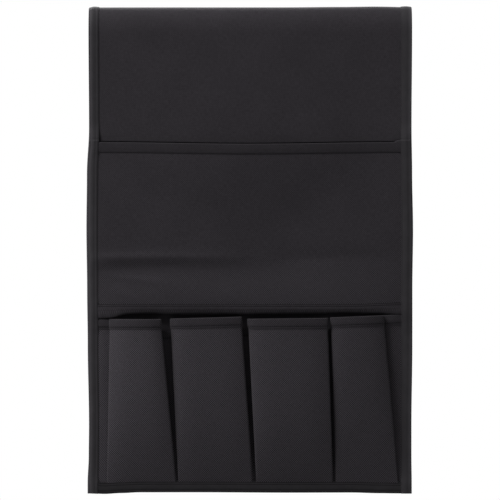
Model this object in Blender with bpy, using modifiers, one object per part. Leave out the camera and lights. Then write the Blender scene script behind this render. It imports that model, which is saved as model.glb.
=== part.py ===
"""Sofa armrest organizer: one long strip of bound cloth, folded over an armrest.

The front panel carries a wide magazine pocket and, below it, a pleated strip that makes four
upright pockets for remote controls. Metres, +Z up, X across the cloth, the front faces -Y.
The origin is the middle of the underside of the fold's flat crown, where an armrest carries it.
"""

import math
from dataclasses import dataclass

import bmesh
import bpy
from mathutils import Matrix, Vector

# The main cloth. Drops are measured down from the top of the crown.
WIDTH = 0.320
FRONT_DROP = 0.4798
BACK_DROP = 0.470
BACK_CREASE_DROP = 0.240
CROWN_FLAT = 0.008
FOLD_RADIUS = 0.0152

# Cloth and tape thicknesses, the room between layers, and how far stitching presses the cloth
CLOTH = 0.0008
TAPE = 0.0005
CLEARANCE = 0.0003
PRESSED = 0.00015

# Tape widths, as seen on one face
SIDE_TAPE_WIDTH = 0.009
BOTTOM_TAPE_WIDTH = 0.0104
MOUTH_TAPE_WIDTH = 0.010
BAND_WIDTH = 0.0076

# Magazine pocket. The slot is the gap between its band and the remote pockets' mouths.
MAGAZINE_HEIGHT = 0.1688
MAGAZINE_SLOT = 0.0069
MAGAZINE_MOUTH_BOW = 0.009
MAGAZINE_BELLY = 0.0042
CREASE_RIDGE = 0.0012

# Where the magazine pocket's forms sit, as shares of its height below the mouth
MOUTH_STRAIGHT_SHARE = 0.07
BOW_END_SHARE = 0.62
CREASE_SHARE = 0.668
CREASE_REACH_SHARE = 0.03
BELLY_START_SHARE = 0.74
BELLY_PEAK_SHARE = 0.915
BELLY_END_SHARE = 0.948
# The crease shows at the left and has faded out at this share of the way across
CREASE_FADE_SHARE = 0.62

# Remote pockets, left to right
REMOTE_HEIGHT = 0.1602
MOUTH_RISES = (0.0, 0.0014, 0.0007, 0.0026)
MOUTH_DEPTHS = (0.0160, 0.0155, 0.0140, 0.0130)
FACE_CROWN = 0.0026
DIVIDER_WIDTH = 0.003
MOUTH_GAPS = (0.0088, 0.0059, 0.0023)
FOOT_GAPS = (0.0006, 0.0020, 0.0015)
OUTER_MOUTH_INSETS = (0.0123, 0.0198)
OUTER_FOOT_INSETS = (0.0091, 0.0043)
# Middles of the gaps and of the seams between pockets, as shares of the half width inside the tapes
MOUTH_GAP_SHARES = (-0.550, -0.033, 0.521)
FOOT_GAP_SHARES = (-0.474, 0.033, 0.556)
SEAM_MOUTH_SHARES = (-0.499, 0.003, 0.505)
GUSSET_START_SHARE = 0.06

# Counts of steps along the curved forms
BEND_STEPS = 14
MAGAZINE_COLUMNS = 18
GUSSET_COLUMN_SHARES = (0.0, 0.33, 0.67, 1.0)
GUSSET_ROWS = 10
FACE_COLUMN_SHARES = (0.0, 0.04, 0.1, 0.2, 0.35, 0.5, 0.65, 0.8, 0.9, 0.96, 1.0)
FACE_ROW_SHARES = (0.0, 0.04, 0.08, 0.13, 0.2, 0.28, 0.37, 0.46, 0.56, 0.67, 0.78, 0.88, 1.0)
MAGAZINE_ROW_SHARES = (
    0.0, 0.07, 0.15, 0.24, 0.33, 0.42, 0.51, 0.58, 0.638, 0.653, 0.668, 0.683, 0.698,
    0.74, 0.79, 0.84, 0.88, 0.915, 0.93, 0.948, 0.97, 1.0,
)  # fmt: skip

# Places that follow from the sizes above
SIDE = WIDTH / 2
CLOTH_EDGE = SIDE - TAPE - CLEARANCE
INNER_EDGE = SIDE - SIDE_TAPE_WIDTH
FREE_EDGE = INNER_EDGE - CLEARANCE
HALF_GAP = CROWN_FLAT / 2 + FOLD_RADIUS
FRONT_FACE = HALF_GAP + CLOTH
LEAF_ROOM = CLEARANCE + TAPE + CLEARANCE
FOOT_ROOM = CLEARANCE + CLOTH + 2 * CLEARANCE
HEM = 2 * CLOTH
POCKET_LIFT = LEAF_ROOM + CLOTH + CLEARANCE
FRONT_BOTTOM = CLOTH - FRONT_DROP
BACK_BOTTOM = CLOTH - BACK_DROP
BACK_CREASE = CLOTH - BACK_CREASE_DROP
FOLD_TRIM = TAPE + CLEARANCE
FOOT_Z = FRONT_BOTTOM + BOTTOM_TAPE_WIDTH + CLEARANCE
MAGAZINE_BOTTOM = FOOT_Z + REMOTE_HEIGHT + MAGAZINE_SLOT
MAGAZINE_TOP = MAGAZINE_BOTTOM + MAGAZINE_HEIGHT
HINGE_FRONT = FRONT_FACE + FOOT_ROOM + CLOTH / 2

# Directions that a flat outline is extruded in: its own axes become these
ALONG_X = (math.pi / 2, 0.0, math.pi / 2)
ALONG_Y = (math.pi / 2, 0.0, 0.0)
ALONG_Z = (0.0, 0.0, 0.0)


@dataclass
class RemotePocket:
    """One upright pocket: the X of its face's edges, its height and how far its mouth stands off."""

    number: int
    foot: tuple
    mouth: tuple
    seam_foot: tuple
    seam_mouth: tuple
    height: float
    depth: float


def clear_scene():
    for old in list(bpy.data.objects):
        bpy.data.objects.remove(old, do_unlink=True)


def new_collection(name):
    collection = bpy.data.collections.new(name)
    bpy.context.scene.collection.children.link(collection)
    return collection


def new_finish(name, colour, roughness):
    """A plain dielectric finish in one colour."""
    finish = bpy.data.materials.new(name)
    finish.use_nodes = True
    shader = finish.node_tree.nodes["Principled BSDF"]
    shader.inputs["Base Color"].default_value = (*colour, 1.0)
    shader.inputs["Roughness"].default_value = roughness
    shader.inputs["Metallic"].default_value = 0.0
    return finish


def place_piece(name, data, finish, collection):
    piece = bpy.data.objects.new(name, data)
    data.materials.append(finish.copy())
    collection.objects.link(piece)
    return piece


def mesh_piece(name, shape, finish, collection):
    mesh = bpy.data.meshes.new(name)
    shape.to_mesh(mesh)
    shape.free()
    return place_piece(name, mesh, finish, collection)


def extruded_outline(name, outline, length, middle, direction, finish, collection):
    """A flat outline, filled and extruded evenly to both sides of its middle."""
    curve = bpy.data.curves.new(name, "CURVE")
    curve.dimensions = "2D"
    curve.fill_mode = "BOTH"
    curve.extrude = length / 2
    spline = curve.splines.new("POLY")
    spline.points.add(len(outline) - 1)
    for point, (across, up) in zip(spline.points, outline):
        point.co = (across, up, 0.0, 1.0)
    spline.use_cyclic_u = True
    piece = place_piece(name, curve, finish, collection)
    piece.location = middle
    piece.rotation_euler = direction
    return piece


def block(name, low, high, finish, collection):
    """A box between two corners."""
    low, high = Vector(low), Vector(high)
    shape = bmesh.new()
    bmesh.ops.create_cube(shape, size=1.0)
    for corner in shape.verts:
        corner.co = (low + high) / 2 + corner.co * (high - low)
    return mesh_piece(name, shape, finish, collection)


def lofted(name, rings, finish, collection):
    """A closed solid through rings of as many points each, with both ends capped."""
    shape = bmesh.new()
    loops = [[shape.verts.new(point) for point in ring] for ring in rings]
    for near, far in zip(loops, loops[1:]):
        for i in range(len(near)):
            shape.faces.new((near[i - 1], near[i], far[i], far[i - 1]))
    shape.faces.new(loops[0])
    shape.faces.new(loops[-1])
    bmesh.ops.recalc_face_normals(shape, faces=shape.faces)
    return mesh_piece(name, shape, finish, collection)


def bowed_sheet(name, columns, rows, surface, finish, collection):
    """A grid laid on surface(column, row), given the cloth's thickness evenly to both sides."""
    shape = bmesh.new()
    across, up = len(columns) - 1, len(rows) - 1
    bmesh.ops.create_grid(shape, x_segments=across, y_segments=up, size=1.0)
    for point in shape.verts:
        column = columns[round((point.co.x + 1) / 2 * across)]
        row = rows[round((point.co.y + 1) / 2 * up)]
        point.co = surface(column, row)
    piece = mesh_piece(name, shape, finish, collection)
    thicken = piece.modifiers.new("thickness", "SOLIDIFY")
    thicken.thickness = CLOTH
    thicken.offset = 0.0
    piece.data.shade_smooth()
    return piece


def channel(width, inner_face, outer_face):
    """A folded tape's section: for each corner, how far in from its fold and at what height."""
    return (
        (width, outer_face + TAPE),
        (0.0, outer_face + TAPE),
        (0.0, inner_face - TAPE),
        (width, inner_face - TAPE),
        (width, inner_face),
        (TAPE, inner_face),
        (TAPE, outer_face),
        (width, outer_face),
    )


def smooth_step(value):
    """Rises from 0 to 1 with level ends."""
    value = min(max(value, 0.0), 1.0)
    return value * value * (3 - 2 * value)


def even_steps(start, end, count):
    return [start + (end - start) * i / count for i in range(count + 1)]


def mix(start, end, share):
    return start + (end - start) * share


def side_name(side):
    return "left" if side < 0 else "right"


def hang(pieces, joint_axis):
    """Parents pieces to the empty on their joint's axis and leaves them where they are."""
    for piece in pieces:
        piece.parent = joint_axis
        piece.matrix_parent_inverse = Matrix.Translation(-joint_axis.location)


def axis_empty(name, position, carrier, collection):
    """An empty on a joint's axis, which moves with the empty that carries it."""
    empty = bpy.data.objects.new(name, None)
    empty.location = position
    empty.empty_display_size = CROWN_FLAT
    collection.objects.link(empty)
    if carrier:
        hang([empty], carrier)
    return empty


def bend_point(facing, turn, across, height):
    """A point round a fold: facing is -1 in front, turn runs from the crown down to the panel."""
    radius = FOLD_RADIUS + height
    y = facing * (CROWN_FLAT / 2 + radius * math.sin(turn))
    return (across, y, radius * math.cos(turn) - FOLD_RADIUS)


def bend_turns():
    trim = CLEARANCE / 2 / FOLD_RADIUS
    return even_steps(trim, math.pi / 2 - trim, BEND_STEPS)


def crown(finishes, collection):
    """The flat top: its underside between the tapes is the face that rests on an armrest."""
    cloth, tape = finishes
    length = CROWN_FLAT - CLEARANCE
    half = [
        (FREE_EDGE, 0.0),
        (FREE_EDGE, PRESSED),
        (CLOTH_EDGE, PRESSED),
        (CLOTH_EDGE, CLOTH),
    ]
    outline = half + [(-x, z) for x, z in reversed(half)]
    extruded_outline(
        "main_cloth_crown", outline, length, (0.0, 0.0, 0.0), ALONG_Y, cloth, collection
    )
    for side in (-1, 1):
        section = channel(SIDE_TAPE_WIDTH, -CLEARANCE, CLOTH + CLEARANCE)
        outline = [(side * (SIDE - inward), height) for inward, height in section]
        name = f"{side_name(side)}_side_tape_crown"
        extruded_outline(
            name, outline, length, (0.0, 0.0, 0.0), ALONG_Y, tape, collection
        )


def bend(word, facing, finishes, collection):
    """A quarter turn of cloth and its two side tapes, between the crown and a panel."""
    cloth, tape = finishes
    turns = bend_turns()
    inner = [bend_point(facing, turn, 0.0, 0.0)[1:] for turn in turns]
    outer = [bend_point(facing, turn, 0.0, CLOTH)[1:] for turn in turns]
    pieces = [
        extruded_outline(
            f"main_cloth_{word}_bend",
            inner + outer[::-1],
            2 * CLOTH_EDGE,
            (0.0, 0.0, 0.0),
            ALONG_X,
            cloth,
            collection,
        )
    ]
    section = channel(SIDE_TAPE_WIDTH, -CLEARANCE, CLOTH + CLEARANCE)
    for side in (-1, 1):
        rings = [
            [bend_point(facing, turn, side * (SIDE - inward), height) for inward, height in section]
            for turn in turns
        ]
        name = f"{side_name(side)}_side_tape_{word}_bend"
        pieces.append(lofted(name, rings, tape, collection))
    return pieces


def front_cloth(cloth, collection, cutters):
    """The front panel, its inner face drawn in where the tapes' inner leaves lie on it."""
    top = -FOLD_RADIUS - CLEARANCE / 2
    bottom = FRONT_BOTTOM + FOLD_TRIM
    panel = block(
        "main_cloth_front",
        (-CLOTH_EDGE, -FRONT_FACE, bottom),
        (CLOTH_EDGE, -HALF_GAP, top),
        cloth,
        collection,
    )
    leaf_top = FRONT_BOTTOM + BOTTOM_TAPE_WIDTH + CLEARANCE
    pressed_face = -HALF_GAP - PRESSED
    beyond = -HALF_GAP + CLOTH
    pressings = (
        ("left", (-SIDE, bottom - CLOTH), (-FREE_EDGE, top + CLOTH)),
        ("right", (FREE_EDGE, bottom - CLOTH), (SIDE, top + CLOTH)),
        ("bottom", (-SIDE, bottom - CLOTH), (SIDE, leaf_top)),
    )
    for word, (x_low, z_low), (x_high, z_high) in pressings:
        cutter = block(
            f"pressing_{word}",
            (x_low, pressed_face, z_low),
            (x_high, beyond, z_high),
            cloth,
            cutters,
        )
        cutter.hide_render = True
        cutter.display_type = "WIRE"
        cut = panel.modifiers.new(f"pressed_{word}", "BOOLEAN")
        cut.operation = "DIFFERENCE"
        cut.solver = "EXACT"
        cut.object = cutter
    return panel


def front_side_tape(side, tape, collection):
    """A side tape whose outer leaf steps out over the sewn sides of the pockets."""
    plain = channel(SIDE_TAPE_WIDTH, -CLEARANCE, CLOTH + CLEARANCE)
    lifted = channel(SIDE_TAPE_WIDTH, -CLEARANCE, CLOTH + POCKET_LIFT)
    step_bottom = MAGAZINE_TOP + CLEARANCE
    stations = (
        (-FOLD_RADIUS - CLEARANCE / 2, plain),
        (step_bottom + SIDE_TAPE_WIDTH, plain),
        (step_bottom, lifted),
        (FRONT_BOTTOM, lifted),
    )
    rings = [
        [(side * (SIDE - inward), -HALF_GAP - height, z) for inward, height in section]
        for z, section in stations
    ]
    return lofted(f"{side_name(side)}_side_tape_front", rings, tape, collection)


def magazine_bow(x, below):
    """How far the magazine pocket stands off: an open mouth, a crease and a slack belly."""
    spread = min(abs(x) / FREE_EDGE, 1.0)
    across = math.cos(math.pi / 2 * spread) ** 2
    fall = (below - MOUTH_STRAIGHT_SHARE) / (BOW_END_SHARE - MOUTH_STRAIGHT_SHARE)
    mouth = MAGAZINE_MOUTH_BOW * across * (1 - smooth_step(fall))
    rise = (below - BELLY_START_SHARE) / (BELLY_PEAK_SHARE - BELLY_START_SHARE)
    drop = (below - BELLY_PEAK_SHARE) / (BELLY_END_SHARE - BELLY_PEAK_SHARE)
    belly = MAGAZINE_BELLY * (1 - spread**6) * smooth_step(rise) * (1 - smooth_step(drop))
    reach = abs(below - CREASE_SHARE) / CREASE_REACH_SHARE
    fade = 1 - smooth_step((x / FREE_EDGE + 1) / 2 / CREASE_FADE_SHARE)
    crease = CREASE_RIDGE * fade * (1 - spread**6) * (1 - smooth_step(reach))
    return mouth + belly + crease


def magazine_columns():
    return even_steps(-FREE_EDGE, FREE_EDGE, MAGAZINE_COLUMNS)


def magazine_pocket(finishes, collection):
    """The wide pocket: its cloth, the tape over its mouth and the band along its bottom."""
    cloth, tape = finishes
    base = FRONT_FACE + LEAF_ROOM
    cloth_top = MAGAZINE_TOP - FOLD_TRIM
    cloth_height = MAGAZINE_HEIGHT - 2 * FOLD_TRIM

    def surface(x, below):
        y = -(base + CLOTH / 2 + magazine_bow(x, below))
        return (x, y, cloth_top - below * cloth_height)

    columns = [-CLOTH_EDGE, *magazine_columns(), CLOTH_EDGE]
    pocket = bowed_sheet(
        "magazine_pocket_cloth", columns, MAGAZINE_ROW_SHARES, surface, cloth, collection
    )

    section = channel(MOUTH_TAPE_WIDTH, -CLEARANCE, CLOTH + CLEARANCE)
    rings = [
        [
            (x, -(base + height + magazine_bow(x, 0.0)), MAGAZINE_TOP - inward)
            for inward, height in section
        ]
        for x in magazine_columns()
    ]
    mouth = lofted("magazine_pocket_mouth_tape", rings, tape, collection)

    section = channel(BAND_WIDTH, -CLEARANCE, CLOTH + CLEARANCE)
    outline = [(-(base + height), MAGAZINE_BOTTOM + inward) for inward, height in section]
    band = extruded_outline(
        "magazine_pocket_bottom_tape",
        outline,
        2 * FREE_EDGE,
        (0.0, 0.0, 0.0),
        ALONG_X,
        tape,
        collection,
    )
    return [pocket, mouth, band]


def pocket_strip(pockets, cloth, collection):
    """The sewn parts of the pleated strip: two end lands, three divider lands and the hem."""
    middle = -(FRONT_FACE + CLEARANCE + CLOTH / 2)
    top = FOOT_Z + REMOTE_HEIGHT
    pieces = []
    for side in (-1, 1):
        outline = [
            (side * CLOTH_EDGE, FOOT_Z),
            (side * INNER_EDGE, FOOT_Z),
            (side * INNER_EDGE, top),
            (side * CLOTH_EDGE, top),
        ]
        name = f"pocket_strip_{side_name(side)}_land"
        pieces.append(
            extruded_outline(
                name, outline, CLOTH, (0.0, middle, 0.0), ALONG_Y, cloth, collection
            )
        )
    for pocket in pockets[:-1]:
        foot, mouth = pocket.seam_foot[1], pocket.seam_mouth[1]
        half = DIVIDER_WIDTH / 2
        outline = [
            (foot - half, FOOT_Z),
            (foot + half, FOOT_Z),
            (mouth + half, top),
            (mouth - half, top),
        ]
        name = f"pocket_divider_{pocket.number}"
        pieces.append(
            extruded_outline(
                name, outline, CLOTH, (0.0, middle, 0.0), ALONG_Y, cloth, collection
            )
        )
    hem_back = -(FRONT_FACE + CLEARANCE)
    pieces.append(
        block(
            "pocket_strip_hem",
            (-FREE_EDGE, hem_back - HEM, FRONT_BOTTOM + FOLD_TRIM),
            (FREE_EDGE, hem_back, FOOT_Z - CLEARANCE),
            cloth,
            collection,
        )
    )
    return pieces


def bottom_tape(word, facing, bottom, lift, tape, collection):
    """A tape folded over a panel's bottom edge, between the side tapes."""
    section = channel(BOTTOM_TAPE_WIDTH, -CLEARANCE, CLOTH + lift)
    outline = [(facing * (HALF_GAP + height), bottom + inward) for inward, height in section]
    return extruded_outline(
        f"bottom_tape_{word}",
        outline,
        2 * FREE_EDGE,
        (0.0, 0.0, 0.0),
        ALONG_X,
        tape,
        collection,
    )


def remote_pockets():
    """Works out the four pockets from the gaps and seams between them."""
    half_seam = DIVIDER_WIDTH / 2
    mouth_middles = [share * INNER_EDGE for share in MOUTH_GAP_SHARES]
    foot_middles = [share * INNER_EDGE for share in FOOT_GAP_SHARES]
    seam_mouths = [share * INNER_EDGE for share in SEAM_MOUTH_SHARES]
    mouth_starts = [-INNER_EDGE + OUTER_MOUTH_INSETS[0]]
    mouth_starts += [x + gap / 2 for x, gap in zip(mouth_middles, MOUTH_GAPS)]
    mouth_ends = [x - gap / 2 for x, gap in zip(mouth_middles, MOUTH_GAPS)]
    mouth_ends.append(INNER_EDGE - OUTER_MOUTH_INSETS[1])
    foot_starts = [-INNER_EDGE + OUTER_FOOT_INSETS[0]]
    foot_starts += [x + gap / 2 for x, gap in zip(foot_middles, FOOT_GAPS)]
    foot_ends = [x - gap / 2 for x, gap in zip(foot_middles, FOOT_GAPS)]
    foot_ends.append(INNER_EDGE - OUTER_FOOT_INSETS[1])
    seams_mouth = [-INNER_EDGE - half_seam, *seam_mouths, INNER_EDGE + half_seam]
    seams_foot = [-INNER_EDGE - half_seam, *foot_middles, INNER_EDGE + half_seam]
    return [
        RemotePocket(
            number=i + 1,
            foot=(foot_starts[i], foot_ends[i]),
            mouth=(mouth_starts[i], mouth_ends[i]),
            seam_foot=(seams_foot[i], seams_foot[i + 1]),
            seam_mouth=(seams_mouth[i], seams_mouth[i + 1]),
            height=REMOTE_HEIGHT + MOUTH_RISES[i],
            depth=MOUTH_DEPTHS[i],
        )
        for i in range(len(MOUTH_DEPTHS))
    ]


def face_distance(pocket, across, up):
    """How far the face's middle surface stands in front of the panel: steep at the foot."""
    belly = pocket.depth * (1 - (1 - up) ** 1.8)
    crowned = FACE_CROWN * (1 - abs(2 * across - 1) ** 4) * (1 - (1 - up) ** 3)
    return FOOT_ROOM + CLOTH / 2 + belly + crowned


def face_point(pocket, across, rise, height):
    """A point of the face at a height above its foot, moved out by height from its middle."""
    up = rise / pocket.height
    left = mix(pocket.foot[0], pocket.mouth[0], up)
    right = mix(pocket.foot[1], pocket.mouth[1], up)
    y = -(FRONT_FACE + face_distance(pocket, across, up) + height)
    return (mix(left, right, across), y, FOOT_Z + rise)


def remote_face(pocket, finishes, collection):
    """A pocket's face and the tape folded over its mouth."""
    cloth, tape = finishes
    cloth_height = pocket.height - FOLD_TRIM

    def surface(across, up):
        return face_point(pocket, across, up * cloth_height, 0.0)

    face = bowed_sheet(
        f"remote_pocket_{pocket.number}_face",
        FACE_COLUMN_SHARES,
        FACE_ROW_SHARES,
        surface,
        cloth,
        collection,
    )
    section = channel(MOUTH_TAPE_WIDTH, -CLOTH / 2 - CLEARANCE, CLOTH / 2 + CLEARANCE)
    rings = [
        [face_point(pocket, across, pocket.height - inward, height) for inward, height in section]
        for across in FACE_COLUMN_SHARES
    ]
    mouth = lofted(f"remote_pocket_{pocket.number}_mouth_tape", rings, tape, collection)
    return [face, mouth]


def gusset(pocket, side, cloth, collection):
    """A pleat from the seam on the panel out to just behind the face's edge."""
    edge = 0 if side < 0 else 1
    room = DIVIDER_WIDTH / 2 + CLEARANCE + CLOTH / 2
    cloth_height = pocket.height - FOLD_TRIM

    def surface(out, up):
        seam = mix(pocket.seam_foot[edge], pocket.seam_mouth[edge], up) - side * room
        face_edge = mix(pocket.foot[edge], pocket.mouth[edge], up)
        face_edge -= side * (room + CLEARANCE) * (1 - up)
        seam_front = CLEARANCE + CLOTH / 2
        face_front = face_distance(pocket, edge, up) - CLOTH - LEAF_ROOM
        distance = FRONT_FACE + mix(seam_front, face_front, out)
        return (mix(seam, face_edge, out), -distance, FOOT_Z + up * cloth_height)

    rows = even_steps(GUSSET_START_SHARE, 1.0, GUSSET_ROWS)
    name = f"remote_pocket_{pocket.number}_{side_name(side)}_gusset"
    return bowed_sheet(name, GUSSET_COLUMN_SHARES, rows, surface, cloth, collection)


def front_panel(finishes, pockets, collection, cutters):
    cloth, tape = finishes
    pieces = [front_cloth(cloth, collection, cutters)]
    pieces += [front_side_tape(side, tape, collection) for side in (-1, 1)]
    pieces += magazine_pocket(finishes, collection)
    pieces += pocket_strip(pockets, cloth, collection)
    hem_lift = CLEARANCE + HEM + CLEARANCE
    pieces.append(bottom_tape("front", -1, FRONT_BOTTOM, hem_lift, tape, collection))
    for pocket in pockets:
        pieces += [gusset(pocket, side, cloth, collection) for side in (-1, 1)]
    return pieces


def back_panel(word, top, bottom, cloth_bottom, finishes, collection):
    """A stretch of the back panel with its side tapes."""
    cloth, tape = finishes
    pieces = [
        block(
            f"main_cloth_back_{word}",
            (-CLOTH_EDGE, HALF_GAP, cloth_bottom),
            (CLOTH_EDGE, HALF_GAP + CLOTH, top),
            cloth,
            collection,
        )
    ]
    for side in (-1, 1):
        section = channel(SIDE_TAPE_WIDTH, -CLEARANCE, CLOTH + CLEARANCE)
        outline = [(side * (SIDE - inward), HALF_GAP + height) for inward, height in section]
        pieces.append(
            extruded_outline(
                f"{side_name(side)}_side_tape_back_{word}",
                outline,
                top - bottom,
                (0.0, 0.0, (top + bottom) / 2),
                ALONG_Z,
                tape,
                collection,
            )
        )
    return pieces


def fold_axis(facing, middle_turn):
    """Where half of a quarter bend hinges so that it unrolls straight without growing longer."""
    half_angle = math.pi / 8
    reach = (FOLD_RADIUS + CLOTH / 2) * half_angle / math.sin(half_angle)
    y = facing * (CROWN_FLAT / 2 + reach * math.sin(middle_turn))
    return (0.0, y, reach * math.cos(middle_turn) - FOLD_RADIUS)


def folding_panel(word, facing, bend_pieces, collection):
    """Hangs a bend on the crown and returns the empty that its panel hangs on: each takes 45 degrees."""
    upper = fold_axis(facing, math.pi / 8)
    lower = fold_axis(facing, 3 * math.pi / 8)
    bend_axis = axis_empty(f"{word}_bend_axis", upper, None, collection)
    hang(bend_pieces, bend_axis)
    return axis_empty(f"{word}_flap_axis", lower, bend_axis, collection)


def build():
    clear_scene()
    collection = new_collection("sofa_armrest_organizer")
    cutters = new_collection("cutters")
    cloth = new_finish("black_woven_polyester", (0.026, 0.025, 0.027), 0.85)
    tape = new_finish("black_binding_tape", (0.019, 0.020, 0.019), 0.75)
    finishes = (cloth, tape)
    pockets = remote_pockets()

    crown(finishes, collection)

    front_bend = bend("front", -1, finishes, collection)
    front_axis = folding_panel("front", -1, front_bend, collection)
    hang(front_panel(finishes, pockets, collection, cutters), front_axis)

    back_bend = bend("back", 1, finishes, collection)
    back_axis = folding_panel("back", 1, back_bend, collection)
    upper_top = -FOLD_RADIUS - CLEARANCE / 2
    upper_bottom = BACK_CREASE + CLEARANCE / 2
    hang(
        back_panel("upper", upper_top, upper_bottom, upper_bottom, finishes, collection),
        back_axis,
    )

    tail_position = (0.0, HALF_GAP - CLEARANCE - TAPE, BACK_CREASE)
    tail_axis = axis_empty("back_tail_axis", tail_position, back_axis, collection)
    tail_top = BACK_CREASE - CLEARANCE / 2
    cloth_bottom = BACK_BOTTOM + FOLD_TRIM
    tail = back_panel("lower", tail_top, BACK_BOTTOM, cloth_bottom, finishes, collection)
    tail.append(bottom_tape("back", 1, BACK_BOTTOM, CLEARANCE, tape, collection))
    hang(tail, tail_axis)

    for pocket in pockets:
        position = (0.0, -HINGE_FRONT, FOOT_Z)
        name = f"remote_pocket_{pocket.number}_axis"
        axis = axis_empty(name, position, front_axis, collection)
        hang(remote_face(pocket, finishes, collection), axis)


build()
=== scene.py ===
"""The looks of the sofa armrest organizer: black woven cloth, ribbed binding tape and thread.

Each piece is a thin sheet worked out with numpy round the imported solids. Metres, +Z up, the
front faces -Y. Distances across a tape are measured in from its folded edge.
"""
import math
from collections.abc import Callable
from dataclasses import dataclass

import bpy
import numpy as np
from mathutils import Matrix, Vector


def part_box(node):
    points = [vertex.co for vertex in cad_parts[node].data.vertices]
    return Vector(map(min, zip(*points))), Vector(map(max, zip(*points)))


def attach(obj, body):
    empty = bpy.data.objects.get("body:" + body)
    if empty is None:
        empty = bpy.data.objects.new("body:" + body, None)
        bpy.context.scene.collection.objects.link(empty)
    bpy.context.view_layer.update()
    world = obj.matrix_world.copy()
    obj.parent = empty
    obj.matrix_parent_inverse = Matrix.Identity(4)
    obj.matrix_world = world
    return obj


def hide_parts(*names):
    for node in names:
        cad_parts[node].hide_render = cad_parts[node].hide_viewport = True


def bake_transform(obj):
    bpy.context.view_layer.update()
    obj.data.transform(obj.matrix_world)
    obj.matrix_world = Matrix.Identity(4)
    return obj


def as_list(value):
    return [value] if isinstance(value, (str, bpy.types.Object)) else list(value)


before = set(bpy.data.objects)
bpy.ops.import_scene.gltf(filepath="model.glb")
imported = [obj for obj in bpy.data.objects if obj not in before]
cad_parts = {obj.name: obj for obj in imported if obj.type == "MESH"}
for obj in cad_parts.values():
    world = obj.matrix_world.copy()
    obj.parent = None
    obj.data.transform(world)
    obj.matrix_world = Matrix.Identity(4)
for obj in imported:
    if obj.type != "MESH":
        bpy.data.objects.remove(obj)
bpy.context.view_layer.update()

# Thicknesses of the layers, the room between them, and how far cloth ends inside its tape's fold
CLOTH = 0.0008
TAPE = 0.0005
ROOM = 0.0003
TRIM = TAPE + ROOM
HEM = 2 * CLOTH
SEWN_UNDER_TAPE = 0.0035

# The fold over the armrest: how far down its curve reaches before the panels hang straight
FOLD_HEIGHT = 0.0265
FOLD_SAMPLES = 400
FOLD_SQUARENESS = 0.85

# Grid steps along and across the pieces
CLOTH_STEP = 0.004
FOLD_STEP = 0.0008
TAPE_STEP = 0.003
LEAF_COLUMNS = 22
FOLD_COLUMNS = 11
SHARP_ANGLE = math.radians(42)

# Stitches: rows of short raised threads, each row in a groove
STITCH_LENGTH = 0.0025
STITCH_PITCH = 0.0031
THREAD_RADIUS = 0.00022
THREAD_RISE_SHARE = 0.4
STITCH_ROOT = 0.00012
GROOVE_DEPTH = 0.00020
FAINT_GROOVE_DEPTH = 0.00010
GROOVE_HALF_WIDTH = 0.0005

# A folded tape: its puff beside the stitches, how it is pressed and thins towards its free edge,
# and how its fold rolls over. Nothing lifts a flat fold.
FLAT_PUFF = 0.00006
PUFF_SKEW = 2
PRESS = 0.00028
PRESS_REACH = 0.0060
THIN_SHARE = 0.5
THIN_REACH = 0.0009
ROLL_REACH = 0.0040
FLAT_FOLD = CLOTH + 2 * ROOM + TAPE

# Rows of stitches on each tape, in from the folded edge
SIDE_WIDTH = 0.0101
# Where the painted highlight on the left tape runs, in from its fold
SIDE_HIGHLIGHT_PLACE = 0.0080
SIDE_ROWS = (0.0094,)
MOUTH_ROWS = (0.0094,)
BAND_ROWS = (0.0051, 0.0071)
BOTTOM_ROWS = (0.0027, 0.0077, 0.0099)
BACK_BOTTOM_ROWS = (0.0027, 0.0093)
REMOTE_ROWS = (0.0079,)


def node_points(name):
    """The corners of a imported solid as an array."""
    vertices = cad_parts[name].data.vertices
    points = np.empty(len(vertices) * 3)
    vertices.foreach_get("co", points)
    return points.reshape(-1, 3)


def solid_height(name):
    """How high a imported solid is."""
    low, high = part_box(name)
    return high.z - low.z


def row_span(name, top):
    """The lowest and highest X along a solid's top or bottom row."""
    points = node_points(name)
    height = points[:, 2]
    level = height.max() if top else height.min()
    row = points[abs(height - level) < TAPE, 0]
    return row.min(), row.max()


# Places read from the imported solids
half_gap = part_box("main_cloth_back_upper")[0].y
half_crown = (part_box("main_cloth_crown")[1].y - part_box("main_cloth_front_bend")[1].y) / 2
side_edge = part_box("left_side_tape_crown")[0].x * -1
cloth_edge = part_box("main_cloth_crown")[1].x
inner_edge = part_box("left_side_tape_crown")[1].x * -1
free_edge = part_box("bottom_tape_front")[1].x
side_width = side_edge - inner_edge
sewn_edge = free_edge + SEWN_UNDER_TAPE
front_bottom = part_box("left_side_tape_front")[0].z
back_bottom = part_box("left_side_tape_back_lower")[0].z
back_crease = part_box("main_cloth_back_lower")[1].z
magazine_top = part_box("magazine_pocket_mouth_tape")[1].z
magazine_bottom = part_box("magazine_pocket_bottom_tape")[0].z
magazine_height = magazine_top - magazine_bottom
bottom_tape_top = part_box("bottom_tape_front")[1].z
foot_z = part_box("remote_pocket_1_face")[0].z
slot_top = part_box("pocket_divider_1")[1].z

ACROSS = (-free_edge, free_edge)
leaf_room = ROOM + TAPE + ROOM
pocket_lift = leaf_room + CLOTH + ROOM


def smooth_step(value):
    """3t^2 - 2t^3 of the value held between 0 and 1."""
    t = np.clip(value, 0, 1)
    return t * t * (3 - 2 * t)


def risen(value, start, end):
    """0 up to a start and 1 from an end on, with a smooth step between them."""
    return smooth_step((value - start) / (end - start))


def mixed(start, end, share):
    """From a start, where the share is 0, to an end, where it is 1."""
    return start + (end - start) * share


def ripple(share):
    """A sine wave, where 1 is a whole turn."""
    return np.sin(2 * np.pi * share)


def smooth_line(at, places, values):
    """Runs through the values at the places, with a smooth step between each two."""
    at = np.clip(np.asarray(at, float), places[0], places[-1])
    left = np.clip(np.searchsorted(places, at) - 1, 0, len(places) - 2)
    places, values = np.asarray(places), np.asarray(values)
    share = risen(at, places[left], places[left + 1])
    return mixed(values[left], values[left + 1], share)


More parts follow.
